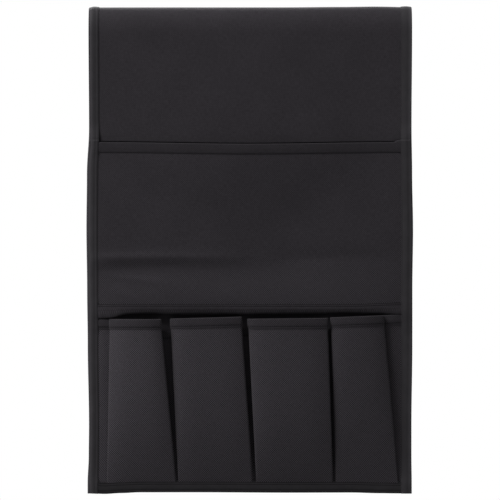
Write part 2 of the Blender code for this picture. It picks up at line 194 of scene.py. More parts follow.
# How the hanging cloth departs from a plain rectangle: places down or across, then offsets
EDGE_DROPS = (0.0, 0.033, 0.132, 0.176, 0.231, 0.290, 0.345, 0.425, 0.455, 0.480)
LEFT_EDGE_OFFSETS = (
    -0.0004, -0.0004, -0.0010, 0.0011, 0.0016, 0.0009, 0.0003, -0.0010, -0.0007, 0.0004,
)
RIGHT_EDGE_OFFSETS = (
    0.0011, 0.0012, 0.0006, 0.0012, 0.0021, 0.0014, 0.0014, 0.0005, 0.0005, 0.0008,
)
CROWN_PLACES = (-0.160, -0.095, -0.055, 0.030, 0.090, 0.125, 0.160)
CROWN_OFFSETS = (0.0005, 0.0006, 0.0006, 0.0006, 0.0010, 0.0014, 0.0008)
BOTTOM_PLACES = (-0.157, -0.143, -0.128, -0.108, -0.049, 0.040, 0.100, 0.129, 0.144, 0.158)
BOTTOM_OFFSETS = (
    -0.0021, -0.0026, -0.0018, -0.0010, -0.0009, -0.0013, -0.0012, -0.0019, -0.0021, -0.0022,
)
OFFSET_FADE = 0.070
EDGE_POWER = 10

# The panels' two slow swells: their heights, their lengths across and down, and their starts
SWELL_HEIGHTS = (0.0007, 0.0003)
SWELL_WIDTHS = (0.235, 0.13)
SWELL_DROPS = (0.41, 0.29)
SWELL_STARTS = (0.17, 0.08, 0.3)


class Strip:
    """Half of the long cloth: from the middle of the crown, over the fold and down one panel.

    The path is half the flat crown, a quarter of a squared ellipse, then a straight drop. A
    place on it is a length along the path; the lean turns from 0 to a right angle below.
    """

    def __init__(self, facing, bottom):
        turn = np.linspace(0, np.pi / 2, FOLD_SAMPLES)
        depth = half_gap - half_crown
        out = half_crown + depth * np.sin(turn) ** FOLD_SQUARENESS
        down = FOLD_HEIGHT * (1 - np.cos(turn) ** FOLD_SQUARENESS)
        lean = np.arctan2(np.gradient(down), np.gradient(out))
        lean[0], lean[-1] = 0, np.pi / 2
        self.facing = facing
        self.out = np.concatenate([[0.0], out, [half_gap]])
        self.up = np.concatenate([[0.0], -down, [bottom]])
        self.lean = np.concatenate([[0.0], lean, [np.pi / 2]])
        steps = np.hypot(np.diff(self.out), np.diff(self.up))
        self.along = np.concatenate([[0.0], np.cumsum(steps)])
        self.crown_edge = half_crown
        self.mid_fold = np.interp(np.pi / 4, lean, self.along[1:-1])
        self.fold_end = self.along[-2]
        self.end = self.along[-1]

    def at_height(self, z):
        """The place on the hanging panel at a height."""
        return self.fold_end - FOLD_HEIGHT - z

    def wave(self, x, along):
        """Two slow swells of the panel that start below the fold."""
        grown = smooth_step((along - self.crown_edge) / OFFSET_FADE)
        first = ripple(x / SWELL_WIDTHS[0] + SWELL_STARTS[0])
        first = first * ripple(along / SWELL_DROPS[0] + SWELL_STARTS[1])
        second = ripple(x / SWELL_WIDTHS[1] - along / SWELL_DROPS[1] + SWELL_STARTS[2])
        return grown * (SWELL_HEIGHTS[0] * first + SWELL_HEIGHTS[1] * second)

    def point(self, along, x, height):
        """The path's point pushed out along its normal, with the edges' small departures."""
        along, x, height = np.broadcast_arrays(along, x, height)
        out = np.interp(along, self.along, self.out)
        up = np.interp(along, self.along, self.up)
        lean = np.interp(along, self.along, self.lean)
        lift = height + self.wave(x, along)
        near_edge = abs(x / side_edge) ** EDGE_POWER
        left = smooth_line(along, EDGE_DROPS, LEFT_EDGE_OFFSETS)
        right = smooth_line(along, EDGE_DROPS, RIGHT_EDGE_OFFSETS)
        crown = smooth_line(x, CROWN_PLACES, CROWN_OFFSETS) * smooth_step(1 - along / OFFSET_FADE)
        near_bottom = risen(along, self.end - OFFSET_FADE, self.end)
        bottom = smooth_line(x, BOTTOM_PLACES, BOTTOM_OFFSETS) * near_bottom
        x = x + near_edge * np.where(x < 0, -left, right)
        y = self.facing * (out + lift * np.sin(lean))
        return np.stack([x, y, up + lift * np.cos(lean) + crown + bottom], axis=-1)


front = Strip(-1, front_bottom)
back = Strip(1, back_bottom)


def front_point(x, z, distance):
    """A point at a distance in front of the front panel's outer face."""
    return front.point(front.at_height(z), x, CLOTH + distance)


def grid_faces(rows, columns, start, turned):
    """The four-sided faces of a grid of points, as rows of point numbers."""
    number = start + np.arange(rows * columns).reshape(rows, columns)
    corners = [number[:-1, :-1], number[:-1, 1:], number[1:, 1:], number[1:, :-1]]
    faces = np.stack([corner.ravel() for corner in corners], axis=1)
    return faces[:, ::-1] if turned else faces


def rim_faces(rows, columns):
    """The faces that join the edges of two like grids, the second numbered after the first."""
    number = np.arange(rows * columns).reshape(rows, columns)
    sides = [number[0, :-1], number[:-1, -1], number[-1, :0:-1], number[:0:-1, 0]]
    ring = np.concatenate(sides)
    after = np.roll(ring, -1)
    other = rows * columns
    return np.stack([after, ring, ring + other, after + other], axis=1)


def enclosed_volume(points, faces):
    """The signed volume inside four-sided faces: a sixth of the sum of their corner products."""
    a, b, c, d = (points[faces[:, i]] for i in range(4))
    return (a * np.cross(b, c)).sum() / 6 + (a * np.cross(c, d)).sum() / 6


def add_object(name, data):
    """An object in the scene that holds a mesh, a lamp or a camera."""
    made = bpy.data.objects.new(name, data)
    bpy.context.scene.collection.objects.link(made)
    return made


def mesh_from(name, points, faces, uv, material):
    """A mesh object from arrays, with its faces turned outwards and its map named weave."""
    if enclosed_volume(points, faces) < 0:
        faces = faces[:, ::-1]
    mesh = bpy.data.meshes.new(name)
    mesh.vertices.add(len(points))
    mesh.vertices.foreach_set("co", points.astype(np.float32).ravel())
    mesh.loops.add(faces.size)
    mesh.loops.foreach_set("vertex_index", faces.astype(np.int32).ravel())
    mesh.polygons.add(len(faces))
    mesh.polygons.foreach_set("loop_start", np.arange(0, faces.size, 4, dtype=np.int32))
    mesh.update(calc_edges=True)
    layer = mesh.uv_layers.new(name="weave")
    layer.uv.foreach_set("vector", uv[faces.ravel()].astype(np.float32).ravel())
    mesh.shade_smooth()
    mesh.set_sharp_from_angle(angle=SHARP_ANGLE)
    mesh.materials.append(material)
    return add_object(name, mesh)


def grid_normals(points):
    """Unit normals of a grid of points, from its slopes along and across."""
    across = np.gradient(points, axis=1)
    along = np.gradient(points, axis=0)
    normal = np.cross(across, along)
    return normal / np.linalg.norm(normal, axis=-1, keepdims=True)


def thick_sheet(name, middle, thickness, u, v, material):
    """A sheet with half its thickness to each side of a middle surface, closed by a rim."""
    rows, columns = middle.shape[:2]
    offset = grid_normals(middle) * np.asarray(thickness)[..., None] / 2
    points = np.concatenate([(middle + offset).reshape(-1, 3), (middle - offset).reshape(-1, 3)])
    faces = [
        grid_faces(rows, columns, 0, False),
        grid_faces(rows, columns, rows * columns, True),
        rim_faces(rows, columns),
    ]
    u, v = np.broadcast_arrays(u, v)
    uv = np.stack([u.ravel(), v.ravel()], axis=1)
    return mesh_from(name, points, np.concatenate(faces), np.concatenate([uv, uv]), material)


def dress(piece, slot, *solids):
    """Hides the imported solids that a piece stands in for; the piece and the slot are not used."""
    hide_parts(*solids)


def steps_between(start, end, step):
    """Even places from a start to an end, about a step apart."""
    return np.linspace(start, end, max(2, round(abs(end - start) / step) + 1))


@dataclass
class TapeForm:
    """A tape's width and rows of stitches, the puff beside them and how its fold rolls over."""

    width: float
    rows: tuple
    puff: float = FLAT_PUFF
    roll: float = 0.0
    groove: float = GROOVE_DEPTH


def pressed(width, inward):
    """How far a tape's outer leaf is pressed down: a smooth step that ends at its free edge."""
    return PRESS * risen(inward, width - PRESS_REACH, width)


def tape_section(form, outer, inner):
    """The middle line of a folded tape's section, from one free edge round to the other.

    It gives how far in from the fold each point lies, its height, its signed place across the
    tape and its thickness. Each leaf dips along its stitches, puffs between them and the fold,
    and thins towards its free edge; the outer one is pressed down there.
    """
    width, rows = form.width, form.rows
    radius = (outer - inner) / 2
    leaf = np.linspace(1, 0, LEAF_COLUMNS)
    turn = np.linspace(0, np.pi, FOLD_COLUMNS)[1:-1]
    on_leaf = radius + (width - radius) * leaf
    shape = np.zeros_like(on_leaf)
    for row in rows:
        shape = shape - form.groove * np.exp(-(((on_leaf - row) / GROOVE_HALF_WIDTH) ** 2))
    share = np.clip((on_leaf - radius) / (rows[-1] - radius), 0, 1)
    fullest = PUFF_SKEW / (PUFF_SKEW + 1)
    puffed = share**PUFF_SKEW * (1 - share) / (fullest**PUFF_SKEW * (1 - fullest))
    shape = shape + form.puff * puffed
    lowered = pressed(width, on_leaf)
    roll = form.roll * (outer - inner) / FLAT_FOLD
    lowered = lowered + roll * np.clip(1 - (on_leaf - radius) / ROLL_REACH, 0, 1) ** 2
    round_fold = radius * (1 - np.sin(turn))
    half = (outer - inner - roll) / 2
    middle = inner + half + half * np.cos(turn)
    inward = np.concatenate([on_leaf, round_fold, on_leaf[:, ::-1]], axis=1)
    height = np.concatenate([outer + shape - lowered, middle, (inner - shape)[:, ::-1]], axis=1)
    arc = radius * (np.pi / 2 - turn)
    across = np.concatenate([on_leaf, arc, -on_leaf[:, ::-1]], axis=1)
    thickness = TAPE * (1 - THIN_SHARE * risen(abs(across), width - THIN_REACH, width))
    return inward, height, across, thickness


# A stitch: where its rings lie along it, their radii, which of them dip, and a ring's corners
STITCH_SHARES = np.array([0.0, 0.1, 0.5, 0.9, 1.0])
STITCH_RADII_SHARES = np.array([0.35, 0.95, 1.0, 0.95, 0.35])
STITCH_ENDS = np.array([1, 0, 0, 0, 1])
STITCH_SIDES = 6


def thread_rows(name, reach, rows, place, material):
    """Rows of stitches: each a short six-sided rod whose ends dip into the tape.

    place(along, inward, height) gives the tape's face at height 0.
    """
    starts = np.arange(reach[0] + STITCH_PITCH / 2, reach[1] - STITCH_PITCH, STITCH_PITCH)
    turns = np.linspace(0, 2 * np.pi, STITCH_SIDES, endpoint=False)
    radii = (THREAD_RADIUS * STITCH_RADII_SHARES)[None, :, None]
    sink = THREAD_RADIUS * THREAD_RISE_SHARE - STITCH_ROOT * STITCH_ENDS - GROOVE_DEPTH
    height = sink[None, :, None] + radii * np.sin(turns)
    meshes, maps = [], []
    for row in rows:
        along = starts[:, None] + STITCH_LENGTH * STITCH_SHARES[None, :]
        across = row + radii * np.cos(turns)
        along = np.broadcast_to(along[:, :, None], (len(starts),) + across.shape[1:])
        meshes.append(place(along, across, height))
        maps.append(np.stack([np.broadcast_to(turns, along.shape) * THREAD_RADIUS, along], -1))
    points, uv = np.concatenate(meshes), np.concatenate(maps)
    stitches, stages = points.shape[:2]
    number = np.arange(stages * STITCH_SIDES).reshape(stages, STITCH_SIDES)
    after = np.roll(number, -1, axis=1)
    tube = np.stack([number[:-1], after[:-1], after[1:], number[1:]], -1).reshape(-1, 4)
    caps = []
    for ring in (number[0, ::-1], number[-1]):
        caps += [ring[[0, 1, 2, 3]], ring[[0, 3, 4, 5]]]
    faces = np.concatenate([tube, np.array(caps)])
    shifts = np.arange(stitches) * stages * STITCH_SIDES
    faces = (faces[None] + shifts[:, None, None]).reshape(-1, 4)
    return mesh_from(name, points.reshape(-1, 3), faces, uv.reshape(-1, 2), material)


@dataclass
class BoundEdge:
    """An edge of cloth with a tape folded over it.

    place(along, inward, height) gives a point by its station, how far in from the fold it lies
    and its height over the cloth's inner face. The tape's outer leaf lies lift(along) over the
    cloth's outer face, and its inner leaf close under the cloth.
    """

    form: TapeForm
    lift: Callable
    place: Callable

    def tape(self, name, stations, finish, *solids):
        """The tape's section carried along the stations."""
        outer = np.broadcast_to(CLOTH + self.lift(stations) + TAPE / 2, stations.shape)
        section = tape_section(self.form, outer[:, None], -ROOM - TAPE / 2)
        inward, height, across, thickness = section
        stations = stations[:, None]
        middle = self.place(stations, inward, height)
        tape = thick_sheet(name, middle, thickness, across, stations, finish)
        dress(tape, "binding_tape", *solids)
        return tape

    def outer_face(self, along, inward, height):
        """A point at a height over the tape's outer face."""
        lift = CLOTH + self.lift(along) + TAPE
        return self.place(along, inward, height + lift - pressed(self.form.width, inward))

    def inner_face(self, along, inward, height):
        """A point at a height over the tape's inner face."""
        return self.place(along, inward, -height - ROOM - TAPE)


@dataclass
class Value:
    """A number worked out at each point of a surface; arithmetic on it adds Math nodes."""

    finish: object
    socket: bpy.types.NodeSocket

    def math(self, operation, *others):
        return self.finish.math(operation, self, *others)

    def ridges(self):
        """A row of round ridges, each half a turn wide."""
        return self.math("SINE").math("ABSOLUTE")

    def near(self, middle, reach):
        """1 at a middle, falling evenly to 0 at a reach on each side of it."""
        return (1 - ((self - middle) / reach).math("ABSOLUTE")).math("MAXIMUM", 0.0)

    def __add__(self, other):
        return self.math("ADD", other)

    def __sub__(self, other):
        return self.math("SUBTRACT", other)

    def __mul__(self, other):
        return self.math("MULTIPLY", other)

    def __truediv__(self, other):
        return self.math("DIVIDE", other)

    def __rsub__(self, other):
        return self.finish.math("SUBTRACT", other, self)

    __radd__ = __add__
    __rmul__ = __mul__


# The numbers of a Mix node's sockets for colours
MIX_FACTOR, MIX_A, MIX_B, MIX_COLOUR = 0, 6, 7, 2
SHEEN_ROUGHNESS = 0.45


class Finish:
    """A material being made: a Principled shader, and one method that adds any other node."""

    def __init__(self, name, roughness, gloss, sheen):
        self.material = bpy.data.materials.new(name)
        self.material.use_nodes = True
        self.tree = self.material.node_tree
        self.shader = self.tree.nodes["Principled BSDF"]
        inputs = self.shader.inputs
        inputs["Roughness"].default_value = roughness
        inputs["Specular IOR Level"].default_value = gloss
        inputs["Sheen Weight"].default_value = sheen
        inputs["Sheen Roughness"].default_value = SHEEN_ROUGHNESS

    def node(self, kind, inputs=(), output=0, **settings):
        """Adds a node: its settings come first, then the values or links of its sockets."""
        made = self.tree.nodes.new(kind)
        for name, value in settings.items():
            setattr(made, name, value)
        for key, value in dict(inputs).items():
            self.feed(made.inputs[key], value)
        return Value(self, made.outputs[output])

    def feed(self, socket, value):
        """Links a value to a socket, or sets the socket to a number or colour."""
        if isinstance(value, Value):
            self.tree.links.new(value.socket, socket)
        else:
            socket.default_value = value

    def math(self, operation, *values):
        return self.node("ShaderNodeMath", enumerate(values), operation=operation)

    def noise(self, x, y, scale, detail):
        """Cloudy noise round zero at a place of the map."""
        place = self.node("ShaderNodeCombineXYZ", {0: x, 1: y})
        inputs = {"Vector": place, "Scale": scale, "Detail": detail}
        return self.node("ShaderNodeTexNoise", inputs) - 0.5

    def map_axes(self):
        """The two lengths of the piece's own map, in metres."""
        inputs = {0: self.node("ShaderNodeUVMap", uv_map="weave")}
        return [self.node("ShaderNodeSeparateXYZ", inputs, axis) for axis in (0, 1)]

    def bump(self, height, strength, distance):
        inputs = {"Height": height, "Strength": strength, "Distance": distance}
        normal = self.node("ShaderNodeBump", inputs)
        self.feed(self.shader.inputs["Normal"], normal)

    def colour(self, light, colour, shares):
        """Runs from one share of a colour, where it is dark, to another."""
        dark, pale = (tuple(channel * share for channel in colour) + (1.0,) for share in shares)
        inputs = {MIX_FACTOR: light, MIX_A: dark, MIX_B: pale}
        mixed = self.node("ShaderNodeMix", inputs, MIX_COLOUR, data_type="RGBA")
        self.feed(self.shader.inputs["Base Color"], mixed)


# Woven cloth: its cells, what strays from them, where the magazine pocket's cells grow clear,
# its darkest and palest shares of the cloth's colour, and how strongly each thing shows
WEAVE_CELL = 0.00108
STRAY_ACROSS, STRAY_ALONG = 0.5, 0.4
SLUB_STRETCH = 0.25
CLEAR_START = 0.100
CLEAR_REACH = 0.035
CLOTH_COLOUR = (0.0205, 0.0187, 0.0215)
DARK_CLOTH, PALE_CLOTH = 0.2, 2.2
PLAIN_LIGHT = 0.4
CELL_SHOW = 0.4
RELIEF_SHOW, RELIEF_MIDDLE = 0.7, 0.4
SLUB_SHOW = 0.25
MOTTLE_SHOW = 0.16
# How dark the painted shade along stitch rows is, on cloth and on tape
CLOTH_GROOVE_SHADE, TAPE_GROOVE_SHADE = 0.4, 0.5


def groove_shaded(light, from_fold, rows, depth):
    """Paints shade along rows of stitches, darker where their grooves lie."""
    for row in rows:
        light = light - from_fold.near(row, GROOVE_HALF_WIDTH) * depth
    return light.math("MAXIMUM", 0.0)


def woven_cloth(name, contrast, share=1.0, rows=(), clearer=0.0):
    """Black cloth in a basket weave: cells of two threads over, beside cells of two across."""
    finish = Finish(name, roughness=0.6, gloss=0.03, sheen=0.05)
    u, v = finish.map_axes()
    stray = finish.noise(u, v, scale=90.0, detail=2.0)
    across = u / WEAVE_CELL + stray * STRAY_ACROSS
    along = v / WEAVE_CELL + stray * STRAY_ALONG
    check = (across.math("FLOOR") + along.math("FLOOR")).math("FLOORED_MODULO", 2.0)
    in_across = across.math("FRACT") * math.pi
    in_along = along.math("FRACT") * math.pi
    warp = in_along.math("SINE") * (in_across * 2.0).ridges()
    weft = in_across.math("SINE") * (in_along * 2.0).ridges()
    height = mixed(warp, weft, check)
    slubs = finish.noise(u * SLUB_STRETCH, v, scale=900.0, detail=1.0)
    threads = finish.noise(u, v * SLUB_STRETCH, scale=900.0, detail=1.0)
    mottle = finish.noise(u, v, scale=26.0, detail=4.0)
    lower = ((v - CLEAR_START) / CLEAR_REACH).math("MAXIMUM", 0.0).math("MINIMUM", 1.0)
    cells = (check - 0.5) * contrast + (height - RELIEF_MIDDLE) * RELIEF_SHOW
    light = PLAIN_LIGHT + cells * (1 + lower * clearer) * CELL_SHOW
    light = light + (slubs + threads) * SLUB_SHOW + mottle * MOTTLE_SHOW
    # Painted shade along the rows of stitches
    light = groove_shaded(light, u.math("ABSOLUTE"), rows, CLOTH_GROOVE_SHADE)
    finish.colour(light, CLOTH_COLOUR, (DARK_CLOTH * share, PALE_CLOTH * share))
    finish.bump(height + slubs * 0.5, strength=0.5, distance=0.00016)
    return finish.material


# Ribbed tape and thread: the same kinds of values
RIB_PITCH = 0.00055
# Half the width of a painted highlight by a tape's lip
HIGHLIGHT_HALF_WIDTH = 0.0011
# How far the painted sheen on a tape's fold reaches
FOLD_SHEEN_WIDTH = 0.0040
FIBRE_STRETCH = 0.3
TAPE_COLOUR = (0.0200, 0.0189, 0.0208)
DARK_TAPE, PALE_TAPE = 0.2, 1.9
DARK_THREAD, PALE_THREAD = 0.15, 0.55
TAPE_LIGHT = 0.36
RIB_SHOW = 0.2
WEAR_SHOW = 0.3
# How strongly that painted highlight shows
HIGHLIGHT_SHOW = 0.3
TWIST_SHOW = 0.2


def ribbed_tape(name, rows, share, fold_sheen=0.0, lip=None):
    """Black ribbed tape: painted sheen at its fold and lip, painted shade at its stitches."""
    finish = Finish(name, roughness=0.55, gloss=0.03, sheen=0.04)
    u, v = finish.map_axes()
    from_fold = u.math("ABSOLUTE")
    rib = (v * (math.pi / RIB_PITCH)).ridges()
    wear = finish.noise(u, v, scale=60.0, detail=3.0)
    fibres = finish.noise(u * FIBRE_STRETCH, v, scale=2200.0, detail=1.0)
    light = TAPE_LIGHT + rib * RIB_SHOW + (wear + fibres) * WEAR_SHOW
    # Painted sheen: paler towards the fold, where light grazes its rounded edge
    light = light + (1 - from_fold / FOLD_SHEEN_WIDTH).math("MAXIMUM", 0.0) * fold_sheen
    # Painted highlight along the lip, where the tape's rolled free edge catches the key lamp
    if lip is not None:
        light = light + from_fold.near(lip, HIGHLIGHT_HALF_WIDTH) * HIGHLIGHT_SHOW
    # Painted shade along the rows of stitches
    light = groove_shaded(light, from_fold, rows, TAPE_GROOVE_SHADE)
    finish.colour(light, TAPE_COLOUR, (DARK_TAPE * share, PALE_TAPE * share))
    finish.bump(rib + fibres * 0.5, strength=0.4, distance=0.00008)
    return finish.material


def sewing_thread(name, share):
    """Black twisted thread."""
    finish = Finish(name, roughness=0.6, gloss=0.03, sheen=0.0)
    u, v = finish.map_axes()
    twist = ((u * 2.0 + v) * (math.pi / THREAD_RADIUS)).math("SINE")
    light = 0.5 + twist * TWIST_SHOW
    finish.colour(light, TAPE_COLOUR, (DARK_THREAD * share, PALE_THREAD * share))
    finish.bump(twist, strength=0.4, distance=0.00005)
    return finish.material


# Painted light: the pockets are lit copies of one cloth, paler than the main one, palest at left.
REMOTE_PAINTED_LIGHT_SHARES = (1.29, 1.18, 1.14, 1.10)
main_finish = woven_cloth("main_cloth_finish", contrast=0.35)
magazine_finish = woven_cloth("magazine_cloth_finish", contrast=0.8, clearer=1.6)
hem_finish = woven_cloth("pocket_hem_finish", contrast=2.3, share=1.12)
remote_finishes = [
    woven_cloth(f"remote_pocket_{place + 1}_finish", contrast=2.3, share=share)
    for place, share in enumerate(REMOTE_PAINTED_LIGHT_SHARES)
]
# The right tape is a lit copy of the left, its share painted paler against the light's fall-off.
left_finish = ribbed_tape("left_tape_finish", (), share=0.94, fold_sheen=0.6, lip=SIDE_HIGHLIGHT_PLACE)
right_finish = ribbed_tape("right_tape_finish", (), share=1.08, fold_sheen=0.7)
mouth_finish = woven_cloth("magazine_mouth_finish", contrast=0.5, share=0.84)
band_finish = woven_cloth("magazine_band_finish", contrast=0.8, share=0.95, rows=BAND_ROWS)
# Painted shade: the bottom tape's low share stands for the shade beneath the pockets' feet.
bottom_finish = ribbed_tape("bottom_tape_finish", BOTTOM_ROWS, share=0.72)
back_bottom_finish = ribbed_tape("back_bottom_tape_finish", BACK_BOTTOM_ROWS, share=0.9)
remote_finish = woven_cloth("remote_mouth_finish", contrast=1.5, share=0.90, rows=REMOTE_ROWS)
# The plain thread is darker than the tape: its own black, partly painted shade at stitch rows.
thread_finish = sewing_thread("sewing_thread", share=1.0)
# Painted light: a lit copy of the same thread, so rows on the side and mouth tapes show faintly.
lit_thread_finish = sewing_thread("mouth_thread", share=2.2)


# The front panel sinks behind the pockets, from just above the magazine pocket's mouth
FRONT_SINK = 0.0010
SINK_STEP = (-0.0012, -0.0001)
SINK_FADES = (0.010, 0.040)
SINK_CHANGE = 0.080

# The magazine pocket's mouth: how it hangs, its step up beside the right tape, and its hem
MOUTH_DROP = 0.0007
MOUTH_SAG = 0.0017
MOUTH_RISE = 0.0024
MOUTH_RISE_X = (0.1430, 0.1475)
MOUTH_HEM = 0.0085

# Closer grid steps by the mouth, and the back panel's packing crease
FINE_STEP = 0.0004
FINE_REACH = 0.0040
TAIL_START = 0.018
CREASE_REACH = 0.008
BACK_RIDGE = 0.0006


def strip_places(strip, start, end):
    """Places along a strip: close together on the fold, wider on the hanging panel."""
    fold_end = min(max(strip.fold_end, start), end)
    on_fold = steps_between(start, fold_end, FOLD_STEP) if fold_end > start else [start]
    if end <= fold_end:
        return on_fold
    return np.concatenate([on_fold, steps_between(fold_end, end, CLOTH_STEP)[1:]])


def refined(places, middle):
    """The places with closer ones round a middle that lies among them."""
    if not places[0] < middle < places[-1]:
        return places
    fine = steps_between(middle - FINE_REACH, middle + FINE_REACH, FINE_STEP)
    return np.concatenate([places[places < fine[0]], fine, places[places > fine[-1]]])


def middle_point(strip, along):
    """The middle of the cloth at a place on its path, at X zero and without swells."""
    out = np.interp(along, strip.along, strip.out)
    up = np.interp(along, strip.along, strip.up)
    return (0.0, strip.facing * out, up)


@dataclass
class Stretch:
    """A stretch of the long strip, the names of two bodies, and its solids."""

    name: str
    strip: Strip
    reach: tuple
    bodies: tuple
    bend: tuple
    solids: tuple

    def follow(self, piece):
        """Bakes a piece's placement into its mesh; the bodies and the bend are read to no effect.
        """
        start, end = (middle_point(self.strip, along) for along in self.bend)
        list(self.bodies)
        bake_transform(piece)
        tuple(start)
        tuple(end)


tail_place = back.at_height(back_crease + TAIL_START)
stretches = []
for word, strip, crown, panel_end, panel in (
    ("front", front, ("crown",), front.end, "front"),
    ("back", back, (), tail_place, "back_upper"),
):
    bend, flap = f"{word}_bend", f"{word}_flap"
    fold = Stretch(
        f"{word}_fold", strip, (0.0, strip.mid_fold), ("saddle", bend),
        (strip.crown_edge, strip.mid_fold), (*crown, bend),
    )
    hanging = Stretch(
        f"{word}_panel", strip, (strip.mid_fold, panel_end), (bend, flap),
        (strip.mid_fold, strip.fold_end), (panel,),
    )
    stretches += [fold, hanging]
crease_bend = tuple(back.at_height(back_crease + reach) for reach in (CREASE_REACH, -CREASE_REACH))
tail_bodies = ("back_flap", "back_tail")
tail_reach = (tail_place, back.end)
tail = Stretch("back_tail", back, tail_reach, tail_bodies, crease_bend, ("back_lower",))
stretches.append(tail)


def off_middle(x):
    """How far out a place is on the magazine pocket: 0 in its middle, 1 at its sewn sides."""
    return np.clip(abs(x) / free_edge, 0, 1)


def slackness(x):
    """1 in the middle of the pocket's mouth, falling to 0 at its sewn ends."""
    return np.cos(np.pi / 2 * off_middle(x)) ** 2


def mouth_sag(x):
    """How far the mouth hangs down, most in its middle."""
    return MOUTH_DROP + MOUTH_SAG * slackness(x)


def mouth_rise(x):
    """How far the mouth steps up beside the right tape."""
    return MOUTH_RISE * risen(x, *MOUTH_RISE_X)


def main_cloth(stretch):
    """A stretch of the main cloth. In front it sinks a little behind the pockets."""
    strip = stretch.strip
    start, end = stretch.reach
    trim = TRIM if end == strip.end else 0
    along = strip_places(strip, start, end - trim)
    if strip.facing < 0:
        along = refined(along, strip.at_height(magazine_top))
    along = along[:, None]
    x = steps_between(-cloth_edge, cloth_edge, CLOTH_STEP)[None, :]
    inward = free_edge - abs(x)
    if strip.facing < 0:
        below = along - strip.at_height(magazine_top) + mouth_rise(x) - mouth_sag(x)
        by_mouth, by_slot = (smooth_step(inward / fade) for fade in SINK_FADES)
        sinking = mixed(by_mouth, by_slot, smooth_step(below / SINK_CHANGE))
        offset = -FRONT_SINK * sinking * risen(below, *SINK_STEP)
    else:
        from_crease = (along - strip.at_height(back_crease)) / CREASE_REACH
        offset = BACK_RIDGE * smooth_step(1 - abs(from_crease)) * smooth_step(inward / side_width)
    middle = strip.point(along, x, CLOTH / 2 + offset)
    name = f"main_cloth_{stretch.name}"
    piece = thick_sheet(name, middle, CLOTH, x, along, main_finish)
    stretch.follow(piece)
    dress(piece, "main_cloth", *[f"main_cloth_{solid}" for solid in stretch.solids])
    return piece


left_form = TapeForm(SIDE_WIDTH, SIDE_ROWS, puff=0.00016, roll=0.0009, groove=0.00004)
right_form = TapeForm(SIDE_WIDTH, SIDE_ROWS, puff=0.00012, roll=0.0003, groove=0.00004)
SIDES = {-1: ("left", left_finish, left_form), 1: ("right", right_finish, right_form)}

# How far out the side tapes' leaves run over the pockets: heights down the panel, then lifts
OVER_CLOTH = 0.0019
OVER_BINDING = 0.0025
OVER_STRIP = 0.0010
OVER_MOUTH = 0.0018
remote_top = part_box("remote_pocket_1_mouth_tape")[1].z
LIFTS = (
    (magazine_top + 0.0160, 0.0),
    (magazine_top + 0.0020, OVER_BINDING - 0.0006),
    (magazine_top + 0.0003, OVER_BINDING),
    (magazine_top - 0.0105, OVER_BINDING),
    (magazine_top - 0.0130, OVER_CLOTH),
    (magazine_bottom + 0.0120, OVER_CLOTH),
    (magazine_bottom + 0.0090, OVER_BINDING),
    (magazine_bottom - 0.0050, OVER_BINDING),
    (remote_top, OVER_MOUTH),
    (remote_top - 0.0105, OVER_MOUTH),
    (remote_top - 0.0130, OVER_STRIP),
    (bottom_tape_top + 0.0030, OVER_STRIP),
    (bottom_tape_top, OVER_BINDING),
    (front_bottom, OVER_BINDING),
)


def tape_lift(strip, along, side):
    """How far the side tape's outer leaf steps out over the sewn sides of the pockets."""
    if strip.facing > 0:
        return np.zeros_like(along)
    heights, lifts = zip(*LIFTS)
    places = [strip.at_height(height) for height in heights]
    down = along - strip.at_height(magazine_top)
    return smooth_line(along, places, lifts) + crease_height(side * free_edge, down)


def side_tape(stretch, side):
    """A side tape along one stretch of the strip, and the stitches on both its faces."""
    strip = stretch.strip
    word, finish, form = SIDES[side]
    stations = strip_places(strip, *stretch.reach)
    if strip.facing < 0:
        stations = refined(stations, strip.at_height(magazine_top))
        stations = refined(stations, strip.at_height(magazine_top - CREASE_DROP))

    def lift(along):
        return ROOM + tape_lift(strip, along, side)

    def place(along, inward, height):
        return strip.point(along, side * (side_edge - TAPE / 2 - inward), height)

    edge = BoundEdge(form, lift, place)
    name = f"{word}_side_tape_{stretch.name}"
    solids = [f"{word}_side_tape_{solid}" for solid in stretch.solids]
    made = [edge.tape(name, stations, finish, *solids)]
    for which, face in (("outer", edge.outer_face), ("inner", edge.inner_face)):
        thread = f"{name}_{which}_thread"
        made.append(thread_rows(thread, stretch.reach, SIDE_ROWS, face, lit_thread_finish))
    for piece in made:
        stretch.follow(piece)
    return made


def bottom_tape(word, strip, width, lift, rows, finish):
    """The tape over a panel's bottom edge, between the side tapes, with its stitches."""

    def place(across, inward, height):
        return strip.point(strip.end - TAPE / 2 - inward, across, height)

    edge = BoundEdge(TapeForm(width, rows), lambda across: lift, place)
    name = f"bottom_tape_{word}"
    x = steps_between(*ACROSS, TAPE_STEP)
    tape = edge.tape(f"{name}_folded", x, finish, name)
    return [tape, thread_rows(f"{name}_thread", ACROSS, rows, edge.outer_face, thread_finish)]


# The magazine pocket: a slack mouth, a packing crease and a belly above its band
MOUTH_BOW = 0.0050
BOW_END = 0.085
CREASE_DROP = 0.1150
CREASE_RIDGE = 0.0027
CREASE_RISE = 0.0110
CREASE_FALL = 0.0185
CREASE_SLOW_SHARE = 0.5
CREASE_HELD_SHARE = 0.6
CREASE_SHARPNESS = 2
CREASE_HELD_POWER = 20
CREASE_WAVER = 0.0012
CREASE_WAVER_WIDTH = 0.045
CREASE_END_X = 0.038
BELLY = 0.0050
BELLY_DROPS = (0.1160, 0.1640, 0.1920)
BELLY_LOSS = 0.35
BELLY_LOSS_REACH = 0.110
SWAY = 0.0005
SWAY_WIDTH = 0.17
SWAY_START = 0.1
SWAY_DROP = 0.15
BAND_RISE = 0.0018
BAND_RISE_X = (0.095, 0.155)
HELD_POWER = 6
UNDER_TAPE = 0.0015
LIP_START = 0.1655
LIP_ROLL = 0.0009
